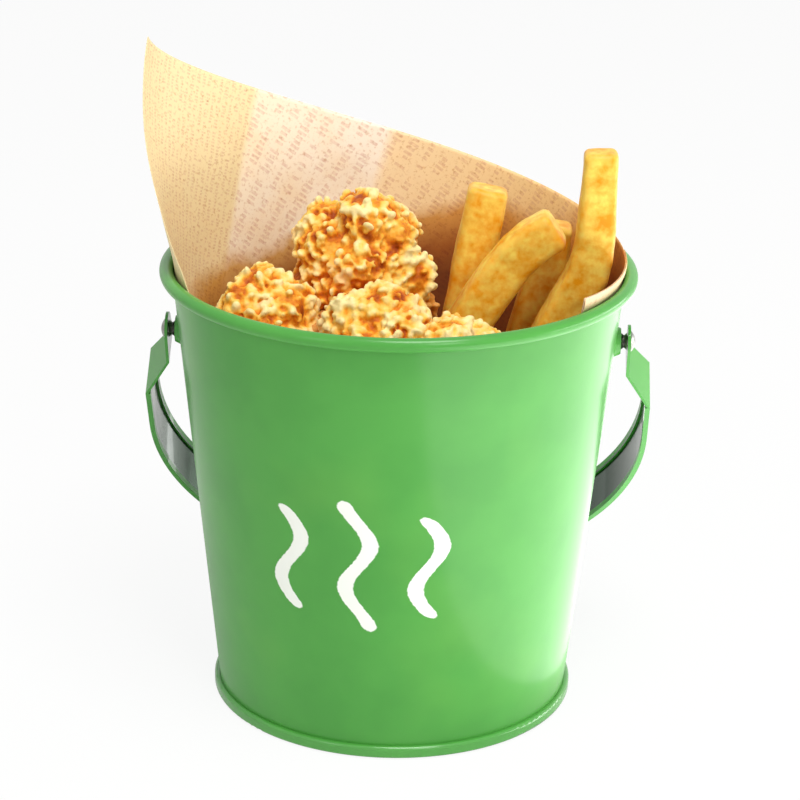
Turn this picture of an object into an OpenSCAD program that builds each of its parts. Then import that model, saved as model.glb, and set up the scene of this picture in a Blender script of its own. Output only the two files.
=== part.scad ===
// Painted tinplate serving pail with a swinging strap handle. It holds a sheet of
// paper curled into an open cone, fried chicken pieces and thick-cut fries.
// Origin at the centre of the foot's resting plane, +Z up. The handle's pivots lie
// on X, the front faces -Y, and the handle hangs down the back.

/* [Pail] */
// Outside diameter over the rolled rim
rim_d = 130; // [116:1:150]
// Height from the resting plane to the top of the rim
pail_h = 125; // [105:1:150]
// Outside diameter of the wall, carried down to the resting plane
foot_d = 97.6; // [88:0.2:108]
// Thickness of the sheet in the wall, the base and the rivets' ears
sheet_t = 0.5; // [0.35:0.05:0.7]
// Outside diameter of the rim's curl
curl_d = 3.8; // [3:0.1:5]
// Opening left between the end of the curl and the wall
curl_gap = 0.5; // [0.3:0.1:1]
// Height of the folded seam round the foot
seam_h = 3.4; // [2.8:0.1:4.5]
// How far the foot seam stands out from the wall
seam_out = 1.8; // [1.5:0.1:2.5]
// Outside radius of the foot seam's corners
seam_round = 0.9; // [0.7:0.1:1.2]
// Height of the base plate's upper face
base_up = 4.5; // [3.8:0.1:8]
// Width of the lock seam that joins the wall's side edges
lock_w = 6; // [4:0.5:9]
// How far the lock seam stands out from the wall
lock_out = 0.7; // [0.4:0.1:1]
// Direction of the lock seam round the pail, from the right ear
lock_at = 60; // [40:5:75]

/* [Ears and rivets] */
// Height of the pivots below the top of the rim
pivot_drop = 21; // [16:0.5:28]
// Radius of an embossed ear where it leaves the wall
ear_base_r = 5; // [4.6:0.1:6]
// Radius of an ear's flat face
ear_face_r = 3.6; // [3.5:0.1:4.2]
// How far an ear's flat face stands out from the wall
ear_out = 1.4; // [1:0.1:2]
// Radius of a rivet's shank in the wall
shank_r = 1.5; // [1.2:0.1:1.7]
// Radius of a rivet's journal in the handle
journal_r = 1.6; // [1.3:0.1:1.8]
// Length of the spool that holds the handle off its ear
spool_len = 1.7; // [1.2:0.1:2.6]
// Radius of the spool's two rims
spool_r = 2.4; // [2.2:0.1:3]
// Radius of the domed head outside the handle
head_r = 2.9; // [2.6:0.1:3.6]
// Height of the domed head
head_h = 1.2; // [0.8:0.1:1.6]
// Radius of the formed tail inside the ear
tail_r = 2.3; // [2:0.1:2.4]
// Height of the formed tail
tail_h = 0.7; // [0.5:0.1:0.8]

/* [Handle] */
// Width of the strap
strap_w = 16; // [13:0.5:20]
// Thickness of the strap
strap_t = 0.8; // [0.6:0.1:1.2]
// Gap between the rim and the inner face of the handle's legs
leg_clear = 4.5; // [3:0.5:9]
// Distance from the pivots to the inner face of the bow's crown
reach = 104; // [98:1:112]
// Width of the hem folded in along each edge of the strap
hem_w = 2.2; // [1.5:0.1:3.5]
// Thickness of the hem
hem_t = 0.6; // [0.4:0.1:0.8]
// Radius of the rounded end round each pivot
end_r = 4.6; // [4:0.1:5.5]
// Distance from the pivot to the start of the joggle
joggle_from = 8; // [6:0.5:10]
// Distance from the pivot to the end of the joggle
joggle_to = 20; // [17:0.5:24]

/* [Paper] */
// How many degrees more steeply the curled sheet tapers than the wall
paper_lean = 2.9; // [2:0.1:4.5]
// Length of the sheet from its lowest point back to the tall corner
sheet_back = 221; // [195:1:232]
// Length of the sheet from its lowest point forward to its other end
sheet_front = 24; // [15:1:50]
// Height of the sheet's upper edge above the rim at its lowest point
sheet_rise = 2.5; // [1:0.5:6]
// Direction of the sheet's lowest point, from the right ear
sheet_low_at = -14; // [-25:1:5]
// Thickness of the paper
paper_t = 0.4; // [0.2:0.05:0.6]

/* [Food] */
// Width and thickness of a fry
fry_w = 11.8; // [9.5:0.1:12.6]
// Depth of the crust's lumps, as a share of a piece's size
crust_lump = 0.07; // [0.02:0.01:0.1]

/* [Clearances] */
// Gap between sheets that are folded or pressed together
fold_gap = 0.05; // [0.02:0.01:0.1]
// Radial clearance of the handle's bores on the rivets' journals
bore_gap = 0.06; // [0.02:0.01:0.1]
// End play of the handle between a spool and its rivet's head
end_play = 0.15; // [0.1:0.05:0.3]
// Gap between the hanging handle and the wall that it rests on
rest_gap = 0.3; // [0.2:0.1:0.6]
// Gap between the paper and the mouth of the pail
paper_gap = 0.3; // [0.2:0.1:0.6]
// Gap between pieces of food, and between food and what holds it
food_gap = 0.3; // [0.2:0.05:0.5]

/* [Hidden] */
$fn = 96;

// Space that the heap of food is laid out in: radius at the rim, and heights
heap_r = 60;
heap_floor = 4.5;
heap_rim = 125;

// Pieces of chicken: name, centre, half sizes, seed of the lumps, rings.
// The heap is laid from the base up; the last ones show above the rim.
CHICKEN = [
    ["chicken_low_right", [22, 11, 25], [20, 21, 21], 3, 9],
    ["chicken_low_left", [-20, 13, 25], [21, 20, 21], 8, 9],
    ["chicken_low_front", [-1, -23, 25], [22, 19, 21], 12, 9],
    ["chicken_under_fries", [21, 20, 53], [21, 19, 15], 17, 9],
    ["chicken_mid_left", [-23, 20, 66], [22, 21, 23], 21, 9],
    ["chicken_mid_front_left", [-25, -20, 67], [21, 21, 23], 26, 9],
    ["chicken_mid_front_right", [21, -17, 64], [22, 22, 24], 31, 9],
    ["chicken_core", [3, 3, 62], [15, 14, 17], 33, 9],
    ["chicken_shaded", [-19, -21, 96], [13, 14, 19], 35, 11],
    ["chicken_inner", [1, 9, 98], [10, 12, 16], 41, 11],
    ["chicken_left", [-36, -22, 106], [15.5, 16, 22], 44, 15],
    ["chicken_middle", [-10, 2, 116], [19.5, 18, 27], 52, 17],
    ["chicken_front", [-3, -30, 107], [15, 15, 20], 57, 15],
    ["chicken_right", [16, -34, 100], [15, 13, 20], 63, 15]
];

// Fries: name, then the points along the middle with the width there as a share
FRIES = [
    ["fry_back", [[10, 19, 65, 0.95], [15, 20, 90, 1], [19.5, 20, 117, 1], [23.5, 21, 139.5, 0.98]]],
    ["fry_leaning", [[3, 3, 78, 0.95], [18, 5, 105, 1.02], [31.5, 5, 126, 1.05], [41.5, 5, 134, 0.95]]],
    ["fry_shaded", [[28, 19, 66, 1], [36, 20, 99, 1.04], [39.5, 21, 114, 1], [41.5, 21, 130, 0.96]]],
    ["fry_tall", [
        [29, 2, 71, 0.95], [43, 1, 107, 0.98], [51, 0, 124, 1], [53, -1, 140, 0.88], [53, -1, 157, 0.8]]]
];

CHICKEN_NAMES = [for (piece = CHICKEN) piece[0]];
FRY_NAMES = [for (fry = FRIES) fry[0]];

// Wall: outside radius at a height, from the foot to the middle of the curl
curl_r = curl_d / 2;
curl_at_r = rim_d / 2 - curl_r;
curl_at_z = pail_h - curl_r;
wall_top_r = rim_d / 2 - curl_d + sheet_t;
wall_slope = (wall_top_r - foot_d / 2) / curl_at_z;
function wall_r(z) = foot_d / 2 + wall_slope * z;

// Foot seam: the base's edge folded round the wall's outward hook
seam_r = foot_d / 2 + seam_out;
hook_z = sheet_t + fold_gap;
hook_r = seam_r - seam_round;
chuck_r = wall_r(hook_z) - sheet_t - fold_gap;

// Pivots: the ear's face, then the handle's inner face on the same axis
pivot_z = pail_h - pivot_drop;
ear_x = wall_r(pivot_z) + ear_out;
strap_x = ear_x + spool_len + end_play;
bore_r = journal_r + bore_gap;

// Handle: legs, bow, and the angle from plumb at which the crown meets the back wall
leg_x = rim_d / 2 + leg_clear;
bow_v = reach - leg_x;
crown_v = reach - hem_t;
rest_sin = crown_v + wall_slope * strap_w / 2;
rest_cos = wall_slope * crown_v - strap_w / 2;
rest_wall = wall_r(pivot_z) + rest_gap;
rest_angle = asin(rest_wall / norm([rest_sin, rest_cos])) - atan2(rest_cos, rest_sin);

// Paper: a flat rectangle laid on a cone by distance and angle from the cone's apex
cone_half = atan(wall_slope) + paper_lean;
cone_slope = tan(cone_half);
mouth_r = wall_top_r - sheet_t - paper_gap;
apex_z = curl_at_z - mouth_r / cone_slope;
sheet_top = (pail_h + sheet_rise - apex_z) / cos(cone_half);
sheet_foot = (base_up + fold_gap - apex_z) / cos(cone_half);
paper_steps_along = 60;
paper_steps_up = 12;

// Food space: inside the paper's cone and above the base plate
food_floor = base_up + food_gap;
food_sides = 24;
function food_r(z) = mouth_r - paper_t - food_gap + cone_slope * (z - curl_at_z);
heap_wide = food_r(pail_h) / heap_r;
heap_high = (pail_h - base_up) / (heap_rim - heap_floor);
function in_heap(p) = [p.x * heap_wide, p.y * heap_wide, base_up + (p.z - heap_floor) * heap_high];
function heap_size(p) = [p.x * heap_wide, p.y * heap_wide, p.z * heap_high];

green = "mediumseagreen";
crust = "sandybrown";
golden = "goldenrod";

// Rectangle with round corners, between two corner points
module round_box(low, high, r) {
    translate([low.x, low.y + r]) square([high.x - low.x, high.y - low.y - 2 * r]);
    translate([low.x + r, low.y]) square([high.x - low.x - 2 * r, high.y - low.y]);
    for (x = [low.x + r, high.x - r], y = [low.y + r, high.y - r])
        translate([x, y]) circle(r);
}

// Solid through a list of rings that all have the same number of points
module loft(rings) {
    n = len(rings[0]);
    last = len(rings) - 1;
    middles = [for (ring = [rings[0], rings[last]]) [for (p = ring) 1] * ring / n];
    points = concat([for (ring = rings) each ring], middles);
    sides = [
        for (i = [0:last - 1], j = [0:n - 1])
            let (a = i * n + j, b = i * n + (j + 1) % n)
                each [[a, a + n, b + n], [a, b + n, b]]
    ];
    caps = [
        for (j = [0:n - 1])
            let (k = (j + 1) % n)
                each [[len(points) - 2, j, k], [len(points) - 1, last * n + k, last * n + j]]
    ];
    polyhedron(points, concat(sides, caps));
}

// Wall section: hook at the foot, tapered wall, curl at the rim
module wall_section(out = 0) {
    top_r = wall_top_r + out;
    foot_r = wall_r(hook_z) + out;
    polygon([
        [foot_r - sheet_t - out, hook_z], [foot_r, hook_z],
        [top_r, curl_at_z], [wall_top_r - sheet_t, curl_at_z]]);
}

module curl_section() {
    gap_angle = 2 * asin(curl_gap / curl_d);
    translate([curl_at_r, curl_at_z]) difference() {
        circle(curl_r);
        circle(curl_r - sheet_t);
        rotate(180) polygon([[0, 0], [curl_d, 0], [curl_d, curl_d * tan(gap_angle + 35)]]);
    }
}

// Ear on the right-hand side, standing out of the wall along X
module ear(base_r, face_r, from_x, to_x) {
    translate([from_x, 0, pivot_z]) rotate([0, 90, 0])
        cylinder(h = to_x - from_x, r1 = base_r, r2 = face_r);
}

module pail_cavity() {
    rotate_extrude() polygon([
        [0, hook_z], [wall_r(hook_z) - sheet_t, hook_z],
        [wall_top_r - sheet_t, curl_at_z], [0, curl_at_z]]);
}

module pail_body() {
    inside_x = wall_r(pivot_z - ear_base_r) - 2 * sheet_t;
    color(green) difference() {
        union() {
            rotate_extrude() {
                wall_section();
                curl_section();
                translate([wall_r(hook_z) - sheet_t, hook_z])
                    square([hook_r - wall_r(hook_z) + sheet_t, sheet_t]);
            }
            // Lock seam: the side edges folded together and pressed flat
            intersection() {
                rotate_extrude() wall_section(lock_out);
                rotate(lock_at) translate([0, -lock_w / 2, seam_h + sheet_t])
                    cube([rim_d, lock_w, curl_at_z - curl_r - seam_h - 2 * sheet_t]);
            }
            difference() {
                for (side = [0, 1]) mirror([side, 0, 0]) ear(ear_base_r, ear_face_r, inside_x, ear_x);
                pail_cavity();
            }
        }
        for (side = [0, 1]) mirror([side, 0, 0]) {
            ear(ear_base_r - sheet_t, ear_face_r - sheet_t, inside_x - sheet_t, ear_x - sheet_t);
            ear(shank_r + fold_gap, shank_r + fold_gap, inside_x, ear_x + sheet_t);
        }
    }
}

module base_plate() {
    wrap_lip_r = wall_r(seam_h + sheet_t) + fold_gap;
    color(green) rotate_extrude() {
        difference() {
            round_box([chuck_r - sheet_t, 0], [seam_r, seam_h], seam_round);
            round_box([chuck_r, sheet_t], [seam_r - sheet_t, seam_h - sheet_t], seam_round - sheet_t);
            polygon([
                [chuck_r, sheet_t], [wall_r(hook_z) + fold_gap, sheet_t],
                [wrap_lip_r, seam_h + sheet_t], [chuck_r, seam_h + sheet_t]]);
        }
        translate([chuck_r - sheet_t, seam_h / 2]) square([sheet_t, base_up - seam_h / 2]);
        translate([0, base_up - sheet_t]) square([chuck_r - sheet_t / 2, sheet_t]);
    }
}

// Shouldered rivet along X: tail in the ear, shank, spool, journal, domed head
module rivet() {
    head_at = spool_len + strap_t + 2 * end_play;
    dome_r = (head_r * head_r + head_h * head_h) / (2 * head_h);
    waist_r = (spool_r + shank_r) / 2 - sheet_t / 2;
    color("silver") translate([ear_x, 0, pivot_z]) rotate([0, 90, 0]) {
        translate([0, 0, -sheet_t - tail_h]) cylinder(h = tail_h, r = tail_r);
        translate([0, 0, -sheet_t - tail_h / 2])
            cylinder(h = sheet_t + tail_h / 2 + spool_len / 2, r = shank_r);
        cylinder(h = spool_len / 2, r1 = spool_r, r2 = waist_r);
        translate([0, 0, spool_len / 2]) cylinder(h = spool_len / 2, r1 = waist_r, r2 = spool_r);
        translate([0, 0, spool_len / 2])
            cylinder(h = head_at - spool_len / 2 + head_h / 2, r = journal_r);
        translate([0, 0, head_at]) intersection() {
            translate([0, 0, head_h - dome_r]) sphere(dome_r);
            cylinder(h = head_h, r = head_r);
        }
    }
}

module right_rivet() {
    rivet();
}

module left_rivet() {
    mirror([1, 0, 0]) rivet();
}

// Bow of the handle in its own plane: straight legs and a half round crown, between two radii
module bow_section(inner, outer) {
    difference() {
        union() {
            translate([0, -bow_v]) circle(outer);
            translate([-outer, -bow_v]) square([2 * outer, bow_v - joggle_to]);
        }
        translate([0, -bow_v]) circle(inner);
        translate([-inner, -bow_v]) square([2 * inner, bow_v]);
        translate([-outer, -joggle_to]) square([2 * outer, 2 * reach]);
    }
}

// End of the handle on the right: flat round the pivot, then joggled out to the leg
module strap_end() {
    taper_v = joggle_to + sheet_t;
    intersection() {
        translate([0, 0, -strap_w / 2]) linear_extrude(strap_w) polygon([
            [strap_x, end_r], [strap_x + strap_t, end_r],
            [strap_x + strap_t, -joggle_from], [leg_x + strap_t, -joggle_to],
            [leg_x + strap_t, -taper_v], [leg_x, -taper_v],
            [leg_x, -joggle_to], [strap_x, -joggle_from]]);
        translate([strap_x - strap_t, 0, 0]) rotate([0, 90, 0]) linear_extrude(leg_x) {
            circle(end_r);
            polygon([[-end_r, 0], [end_r, 0], [strap_w / 2, -joggle_to], [strap_w / 2, -2 * taper_v],
                [-strap_w / 2, -2 * taper_v], [-strap_w / 2, -joggle_to]]);
        }
    }
}

module handle() {
    color(green) translate([0, 0, pivot_z]) rotate([90 + rest_angle, 0, 0]) difference() {
        union() {
            linear_extrude(strap_w, center = true) bow_section(leg_x, leg_x + strap_t);
            for (edge = [-strap_w / 2, strap_w / 2 - hem_w])
                translate([0, 0, edge]) linear_extrude(hem_w)
                    bow_section(leg_x - hem_t, leg_x + strap_t / 2);
            for (side = [0, 1]) mirror([side, 0, 0]) strap_end();
        }
        rotate([0, 90, 0]) cylinder(h = 2 * leg_x, r = bore_r, center = true);
    }
}

// Point of the flat sheet, along its length and out from the apex, laid on the cone
function on_cone(along, up, inward) =
    let (
        from_apex = norm([along, up]),
        turn = sheet_low_at + atan2(along, up) / sin(cone_half),
        r = from_apex * sin(cone_half) - inward)
    [r * cos(turn), r * sin(turn), apex_z + from_apex * cos(cone_half)];

module paper_liner() {
    per_row = paper_steps_up + 1;
    rows = paper_steps_along + 1;
    face = rows * per_row;
    points = [
        for (inward = [0, paper_t], i = [0:paper_steps_along], j = [0:paper_steps_up])
            on_cone(
                -sheet_front + (sheet_back + sheet_front) * i / paper_steps_along,
                sheet_foot + (sheet_top - sheet_foot) * j / paper_steps_up,
                inward)
    ];
    sheet_faces = [
        for (i = [0:paper_steps_along - 1], j = [0:paper_steps_up - 1])
            let (a = i * per_row + j, b = a + per_row)
                each [
                    [a, a + 1, b + 1], [a, b + 1, b],
                    [face + a, face + b + 1, face + a + 1], [face + a, face + b, face + b + 1]]
    ];
    long_edges = [
        for (i = [0:paper_steps_along - 1])
            let (a = i * per_row, b = a + per_row, c = a + paper_steps_up, d = c + per_row)
                each [
                    [a, b, face + b], [a, face + b, face + a],
                    [c, face + d, d], [c, face + c, face + d]]
    ];
    short_edges = [
        for (j = [0:paper_steps_up - 1])
            let (a = j, b = paper_steps_along * per_row + j)
                each [
                    [a, face + a, face + a + 1], [a, face + a + 1, a + 1],
                    [b, face + b + 1, face + b], [b, b + 1, face + b + 1]]
    ];
    color("wheat") polyhedron(points, concat(sheet_faces, long_edges, short_edges));
}

// Fry: a soft square section carried along its points, with ends drawn in
fry_steps = 3;
fry_corners = 16;
fry_end = 1;
fry_soft = 0.4;
function soft_square(a) =
    [sign(cos(a)) * pow(abs(cos(a)), fry_soft), sign(sin(a)) * pow(abs(sin(a)), fry_soft)];
function curve_point(a, b, c, d, t) =
    b + (c - a) * t / 2 + (a * 2 - b * 5 + c * 4 - d) * t * t / 2 + (b * 3 - a - c * 3 + d) * t * t * t / 2;
function fry_path(f) =
    let (stops = [for (p = FRIES[f][1]) concat(in_heap(p), p[3])], last = len(stops) - 1)
    concat(
        [for (i = [0:last - 1], k = [0:fry_steps - 1])
            curve_point(stops[max(i - 1, 0)], stops[i], stops[i + 1], stops[min(i + 2, last)], k / fry_steps)],
        [stops[last]]);
function xyz(p) = [p.x, p.y, p.z];
function unit(v) = v / norm(v);
function fry_ring(at, along, half) =
    let (side = unit(cross([0, 1, 0], along)), front = cross(along, side))
    [for (k = [0:fry_corners - 1])
        let (s = soft_square(360 * k / fry_corners) * half)
            at + side * s.x + front * s.y];
function fry_rings(f) =
    let (
        path = fry_path(f),
        last = len(path) - 1,
        ways = [for (i = [0:last]) unit(xyz(path[min(i + 1, last)] - path[max(i - 1, 0)]))],
        half = fry_w / 2)
    concat(
        [fry_ring(xyz(path[0]) - ways[0] * fry_end, ways[0], half * path[0][3] - fry_end)],
        [for (i = [0:last]) fry_ring(xyz(path[i]), ways[i], half * path[i][3])],
        [fry_ring(xyz(path[last]) + ways[last] * fry_end, ways[last], half * path[last][3] - fry_end)]);

module fry(f) {
    color(golden) loft(fry_rings(f));
}

// Chicken: a lumpy ellipsoid, flattened where it presses on its neighbours, the paper and the base
function half_size_along(size, way) = 1 / norm([way.x / size.x, way.y / size.y, way.z / size.z]);
function lumps(way, seed) =
    sin(250 * way.x + 90 * way.z + 61 * seed) * sin(230 * way.y - 70 * way.x + 37 * seed)
    + 0.6 * sin(520 * way.z + 140 * way.y + 83 * seed) * sin(480 * way.x + 29 * seed)
    + 0.4 * sin(900 * way.y + 300 * way.z + 17 * seed);
// Flat limits of a piece, each as its normal and distance from the piece's centre
function neighbour_limits(c, at, size) = [
    for (k = [0:len(CHICKEN) - 1])
        if (k != c)
            let (
                other = in_heap(CHICKEN[k][1]) - at,
                way = unit(other),
                mine = half_size_along(size, way),
                theirs = half_size_along(heap_size(CHICKEN[k][2]), way))
                [way, norm(other) * mine / (mine + theirs) - food_gap / 2]
];
function fry_limits(at) = [
    for (f = [0:len(FRIES) - 1])
        let (
            path = fry_path(f),
            gaps = [for (p = path) norm(xyz(p) - at)],
            nearest = [for (i = [0:len(path) - 1]) if (gaps[i] == min(gaps)) xyz(path[i])][0],
            way = unit(nearest - at))
            [way, min([for (ring = fry_rings(f), p = ring) way * (p - at)]) - food_gap]
];
function wall_limits(at) = [
    for (k = [0:food_sides - 1])
        let (
            a = 360 * k / food_sides,
            shrink = cos(180 / food_sides),
            out = [cos(a), sin(a), -shrink * cone_slope])
            [unit(out), (shrink * food_r(at.z) - at.x * cos(a) - at.y * sin(a)) / norm(out)]
];
function chicken_limits(c, at, size) =
    concat(neighbour_limits(c, at, size), fry_limits(at), wall_limits(at), [[[0, 0, -1], at.z - food_floor]]);

module chicken(c) {
    at = in_heap(CHICKEN[c][1]);
    size = heap_size(CHICKEN[c][2]);
    seed = CHICKEN[c][3];
    rings = CHICKEN[c][4];
    around = round(rings * 1.6);
    limits = chicken_limits(c, at, size);
    color(crust) loft([
        for (i = [1:rings])
            [for (j = [0:around - 1])
                let (
                    level = -90 + 180 * i / (rings + 1),
                    a = 360 * j / around,
                    way = [cos(level) * cos(a), cos(level) * sin(a), sin(level)],
                    free = half_size_along(size, way) * (1 + crust_lump * lumps(way, seed)),
                    pressed = [for (limit = limits) if (limit[0] * way > 0) limit[1] / (limit[0] * way)])
                    at + way * min(concat([free], pressed))]
    ]);
}

pail_body();
base_plate();
left_rivet();
right_rivet();
handle();
paper_liner();
for (c = [0:len(CHICKEN) - 1])
    chicken(c);
for (f = [0:len(FRIES) - 1])
    fry(f);
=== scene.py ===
import math

import bpy
import numpy as np
from mathutils import Matrix, Vector, noise
from mathutils.bvhtree import BVHTree


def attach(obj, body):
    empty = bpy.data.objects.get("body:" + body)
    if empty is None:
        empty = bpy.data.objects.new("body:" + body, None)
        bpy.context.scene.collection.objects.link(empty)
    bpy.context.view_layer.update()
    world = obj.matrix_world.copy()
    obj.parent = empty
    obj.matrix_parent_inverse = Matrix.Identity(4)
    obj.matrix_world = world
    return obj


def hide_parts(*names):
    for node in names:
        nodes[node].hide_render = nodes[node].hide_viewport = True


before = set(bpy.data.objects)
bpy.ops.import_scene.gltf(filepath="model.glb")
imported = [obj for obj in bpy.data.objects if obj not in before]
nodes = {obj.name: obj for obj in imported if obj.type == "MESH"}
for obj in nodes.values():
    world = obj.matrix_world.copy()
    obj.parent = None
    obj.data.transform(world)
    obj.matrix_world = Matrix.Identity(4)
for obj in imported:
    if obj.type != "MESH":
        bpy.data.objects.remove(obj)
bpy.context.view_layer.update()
MM = 0.001

# Pail body. One tapered sheet of tinplate, its side edges locked together, the rim rolled outward
# into a bead and the ears for the handle pressed out of it. Lacquered green outside and baked, bare
# tin inside, with a plain white print of three rising strokes on the front.
PAIL_HEIGHT = 125 * MM
RIM_BEAD = 3.8 * MM
LACQUER_GREEN = "#50a042"
LACQUER_DEEP = "#4a993e"
LACQUER_WARM = "#79b84e"
TIN = "#c9c6bd"
PRINT_WHITE = "#f4f6ee"
PRINT_AT = math.radians(-8)
PRINT_Z = 58 * MM
PRINT_RADIUS = 55 * MM
PRINT_GRIT = 0.35 * MM
PRINT_SOFT = 0.15 * MM
STROKE_PITCH = 19 * MM
STROKE_HALF_WIDTH = 2.2 * MM
STROKE_HALF_HEIGHT = 17 * MM
STROKE_STEP = 4 * MM
STROKE_WAVE = 3.4 * MM
STROKE_WAVE_LENGTH = 26 * MM


def linear(hex_colour):
    """An sRGB hex colour as the linear RGBA that a shader socket takes."""
    channels = [int(hex_colour[k:k + 2], 16) / 255 for k in (1, 3, 5)]
    return (*[c / 12.92 if c <= 0.04045 else ((c + 0.055) / 1.055) ** 2.4 for c in channels], 1.0)


def add(tree, kind, inputs=None, stops=None, **settings):
    """Adds one shader node; an input that is given a socket is linked to it."""
    node = tree.nodes.new("ShaderNode" + kind)
    for name, value in settings.items():
        setattr(node, name, value)
    for name, value in (inputs or {}).items():
        if isinstance(value, bpy.types.NodeSocket):
            tree.links.new(value, node.inputs[name])
        else:
            node.inputs[name].default_value = value
    if stops:
        while len(node.color_ramp.elements) < len(stops):
            node.color_ramp.elements.new(1.0)
        for element, (place, colour) in zip(node.color_ramp.elements, stops):
            element.position = place
            element.color = linear(colour) if isinstance(colour, str) else (colour, colour, colour, 1)
    return node


def start_material(name):
    """An empty material, its node tree and its surface shader."""
    material = bpy.data.materials.new(name)
    material.use_nodes = True
    tree = material.node_tree
    return material, tree, tree.nodes["Principled BSDF"]


def baked_lacquer(name):
    """Baked alkyd lacquer on tinplate: a smooth gloss with faint orange peel and slightly uneven colour.

    Returns the material with its tree, shader, colour socket and object coordinates."""
    material, tree, shader = start_material(name)
    place = add(tree, "TexCoord").outputs["Object"]
    clouds = add(tree, "TexNoise", {"Vector": place, "Scale": 1 / (24 * MM), "Detail": 3.0})
    deep = add(tree, "ValToRGB", {"Fac": clouds.outputs["Fac"]},
               stops=[(0.36, LACQUER_DEEP), (0.62, LACQUER_GREEN)])
    spots = add(tree, "TexNoise", {"Vector": place, "Scale": 1 / (40 * MM), "Detail": 2.0})
    warm_at = add(tree, "ValToRGB", {"Fac": spots.outputs["Fac"]}, stops=[(0.55, 0.0), (0.85, 0.3)])
    colour = add(tree, "MixRGB", {"Fac": warm_at.outputs["Color"], "Color1": deep.outputs["Color"],
                                  "Color2": linear(LACQUER_WARM)})
    peel = add(tree, "TexNoise", {"Vector": place, "Scale": 1 / (1.6 * MM), "Detail": 2.0})
    bump = add(tree, "Bump", {"Height": peel.outputs["Fac"], "Strength": 0.12, "Distance": 0.12 * MM})
    tree.links.new(bump.outputs["Normal"], shader.inputs["Normal"])
    tree.links.new(colour.outputs["Color"], shader.inputs["Base Color"])
    gloss = add(tree, "MapRange", {"Value": clouds.outputs["Fac"], "To Min": 0.38, "To Max": 0.46})
    tree.links.new(gloss.outputs["Result"], shader.inputs["Roughness"])
    shader.inputs["Specular IOR Level"].default_value = 0.1
    shader.inputs["Coat Weight"].default_value = 0.5
    shader.inputs["Coat Roughness"].default_value = 0.2
    return material, tree, shader, colour.outputs["Color"], place


def finish_cad(name, material):
    """Gives a CAD node this material alone."""
    nodes[name].data.materials.clear()
    nodes[name].data.materials.append(material)


pail_finish, tree, shader, green, place = baked_lacquer("baked_lacquer_over_bare_tin")
split = add(tree, "SeparateXYZ", {"Vector": place})
x, y, z = (split.outputs[axis] for axis in "XYZ")

# The three strokes, by the distance from each stroke's waving middle line.
front = add(tree, "Math", {0: y, 1: -1.0}, operation="MULTIPLY").outputs[0]
around = add(tree, "Math", {0: x, 1: front}, operation="ARCTAN2").outputs[0]
across = add(tree, "Math", {0: around, 1: PRINT_AT}, operation="SUBTRACT").outputs[0]
across = add(tree, "Math", {0: across, 1: PRINT_RADIUS}, operation="MULTIPLY").outputs[0]
rise = add(tree, "Math", {0: z, 1: PRINT_Z}, operation="SUBTRACT").outputs[0]
phase = add(tree, "Math", {0: rise, 1: 2 * math.pi / STROKE_WAVE_LENGTH}, operation="MULTIPLY").outputs[0]
wave = add(tree, "Math", {0: phase}, operation="SINE").outputs[0]
wave = add(tree, "Math", {0: wave, 1: STROKE_WAVE}, operation="MULTIPLY").outputs[0]
across = add(tree, "Math", {0: across, 1: wave}, operation="SUBTRACT").outputs[0]
index = add(tree, "Math", {0: across, 1: STROKE_PITCH}, operation="DIVIDE").outputs[0]
index = add(tree, "Math", {0: index}, operation="ROUND").outputs[0]
index = add(tree, "Clamp", {"Value": index, "Min": -1.0, "Max": 1.0}).outputs[0]
middle = add(tree, "Math", {0: index, 1: STROKE_PITCH}, operation="MULTIPLY").outputs[0]
beside = add(tree, "Math", {0: across, 1: middle}, operation="SUBTRACT").outputs[0]
shorter = add(tree, "Math", {0: index}, operation="ABSOLUTE").outputs[0]
shorter = add(tree, "Math", {0: shorter, 1: STROKE_STEP}, operation="MULTIPLY").outputs[0]
half = add(tree, "Math", {0: STROKE_HALF_HEIGHT, 1: shorter}, operation="SUBTRACT").outputs[0]
above = add(tree, "Math", {0: rise}, operation="ABSOLUTE").outputs[0]
above = add(tree, "Math", {0: above, 1: half}, operation="SUBTRACT").outputs[0]
above = add(tree, "Math", {0: above, 1: 0.0}, operation="MAXIMUM").outputs[0]
off_line = add(tree, "CombineXYZ", {"X": beside, "Y": above})
off_line = add(tree, "VectorMath", {0: off_line.outputs[0]}, operation="LENGTH").outputs["Value"]
grit = add(tree, "TexNoise", {"Vector": place, "Scale": 1 / (1.2 * MM), "Detail": 2.0})
ragged = add(tree, "MapRange", {"Value": grit.outputs["Fac"], "To Min": -PRINT_GRIT, "To Max": PRINT_GRIT})
off_line = add(tree, "Math", {0: off_line, 1: ragged.outputs[0]}, operation="ADD").outputs[0]
printed = add(tree, "MapRange", {"Value": off_line, "From Min": STROKE_HALF_WIDTH - PRINT_SOFT,
                                 "From Max": STROKE_HALF_WIDTH + PRINT_SOFT, "To Min": 1.0, "To Max": 0.0})
forward = add(tree, "Math", {0: front, 1: 0.0}, operation="GREATER_THAN").outputs[0]
printed = add(tree, "Math", {0: printed.outputs[0], 1: forward}, operation="MULTIPLY").outputs[0]

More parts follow.
